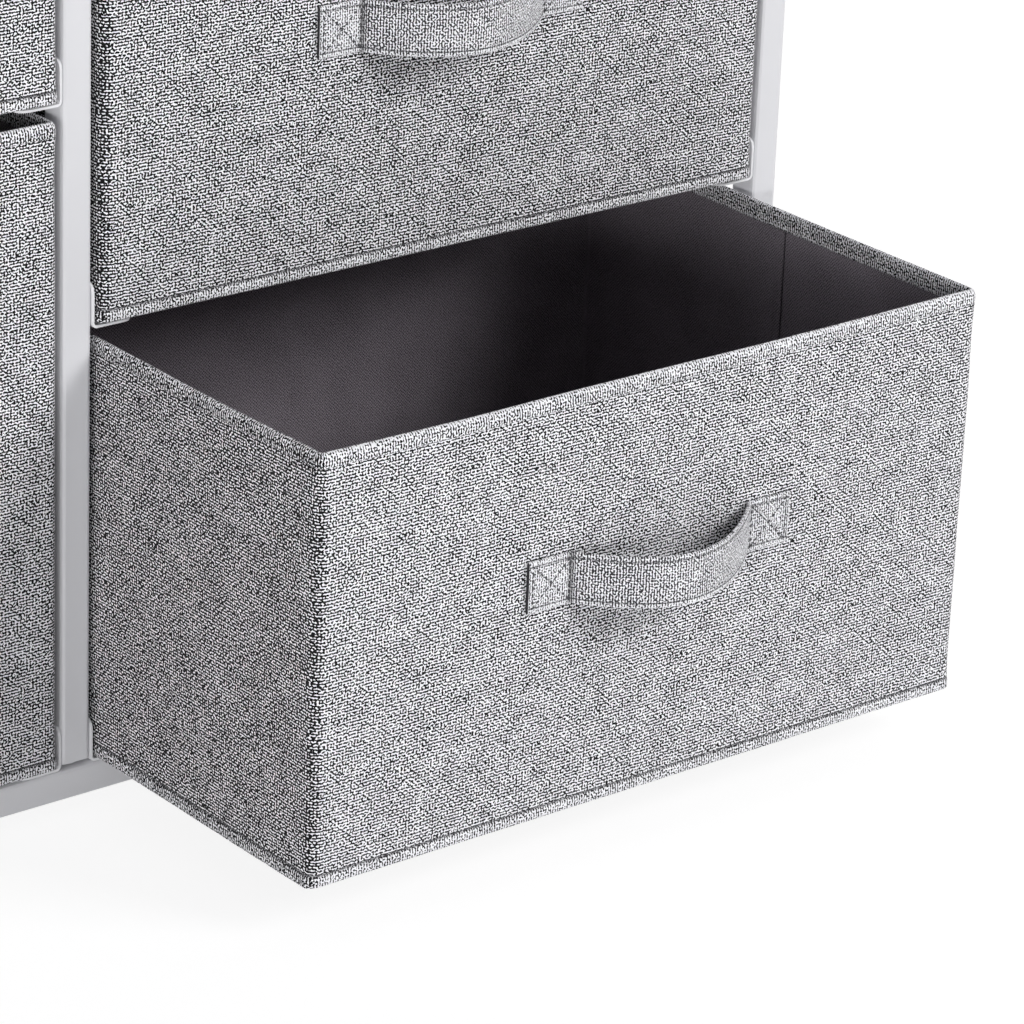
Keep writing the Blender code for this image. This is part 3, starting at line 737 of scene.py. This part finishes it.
def floor_material():
    """Pale floor: the camera sees it white, with the object's shadow kept faint."""
    g = Graph("pale_floor")
    place = g.object_place()
    g.set(Base_Color=g.mix(g.noise(place, 3.0), (0.88, 0.88, 0.88), (0.90, 0.90, 0.90)),
          Roughness=0.9)
    g.set(Specular_IOR_Level=0.1)
    far = g.node("ShaderNodeVectorMath", {"Vector": place}, operation="LENGTH").outputs["Value"]
    glow = g.node("ShaderNodeEmission", {"Strength": g.remap(far, 1.2, 4.5, 0.88, 0.99)}).outputs[0]
    shade = g.node("ShaderNodeBsdfDiffuse", {"Color": (0.20, 0.20, 0.20, 1.0)}).outputs[0]
    seen = g.node("ShaderNodeAddShader")
    g.tree.links.new(glow, seen.inputs[0])
    g.tree.links.new(shade, seen.inputs[1])
    path = g.node("ShaderNodeLightPath")
    looked = g.math("MAXIMUM", path.outputs["Is Camera Ray"], path.outputs["Is Glossy Ray"])
    looked = g.math("MAXIMUM", looked, path.outputs["Is Transmission Ray"])
    choice = g.node("ShaderNodeMixShader", {"Fac": looked})
    g.tree.links.new(g.shader.outputs[0], choice.inputs[1])
    g.tree.links.new(seen.outputs[0], choice.inputs[2])
    g.tree.links.new(choice.outputs[0], g.tree.nodes["Material Output"].inputs["Surface"])
    return g.material


bm = bmesh.new()
bmesh.ops.create_grid(bm, x_segments=8, y_segments=8, size=12.0)
floor = to_object(bm, "studio_floor", floor_material())
floor.location.z = -0.5 * MM

world = bpy.data.worlds.new("studio")
world.use_nodes = True
scene.world = world
tree = world.node_tree
background = tree.nodes["Background"]
background.inputs["Color"].default_value = (0.97, 0.975, 1.0, 1.0)
path = tree.nodes.new("ShaderNodeLightPath")
either = tree.nodes.new("ShaderNodeMath")
either.operation = "MAXIMUM"
tree.links.new(path.outputs["Is Camera Ray"], either.inputs[0])
tree.links.new(path.outputs["Is Glossy Ray"], either.inputs[1])
again = tree.nodes.new("ShaderNodeMath")
again.operation = "MAXIMUM"
tree.links.new(either.outputs[0], again.inputs[0])
tree.links.new(path.outputs["Is Transmission Ray"], again.inputs[1])
strength = tree.nodes.new("ShaderNodeMapRange")
strength.inputs["To Min"].default_value = 0.16
strength.inputs["To Max"].default_value = 1.0
tree.links.new(again.outputs[0], strength.inputs["Value"])
tree.links.new(strength.outputs[0], background.inputs["Strength"])

area_light("key", (2.15, -2.8, 2.35), (0.1, 0.0, 0.3), (1.6, 1.6), 95.0)
area_light("fill", (-2.75, -2.0, 0.36), (0.0, 0.0, 0.3), (3.0, 0.7), 64.0)
area_light("left_back", (-2.2, 3.0, 1.5), (0.0, 0.1, 0.3), (2.0, 2.0), 50.0)
area_light("right_back", (2.9, 2.0, 1.2), (0.0, 0.1, 0.3), (2.0, 2.0), 42.0)

forward = Vector((math.sin(YAW) * math.cos(PITCH), math.cos(YAW) * math.cos(PITCH),
                  -math.sin(PITCH)))
right = Vector((math.cos(YAW), -math.sin(YAW), 0.0))
up = right.cross(forward)
turned_right = math.cos(ROLL) * right + math.sin(ROLL) * up
turned_up = -math.sin(ROLL) * right + math.cos(ROLL) * up
camera_data = bpy.data.cameras.new("camera")
camera_data.sensor_width = 36.0
camera_data.lens = CAMERA_LENS
camera_data.clip_start, camera_data.clip_end = 0.05, 60.0
camera = bpy.data.objects.new("camera", camera_data)
turn = Matrix((turned_right, turned_up, -forward)).transposed().to_4x4()
camera.matrix_world = Matrix.Translation(CAMERA_PLACE) @ turn
scene.collection.objects.link(camera)
scene.camera = camera
scene.view_settings.view_transform = "Standard"
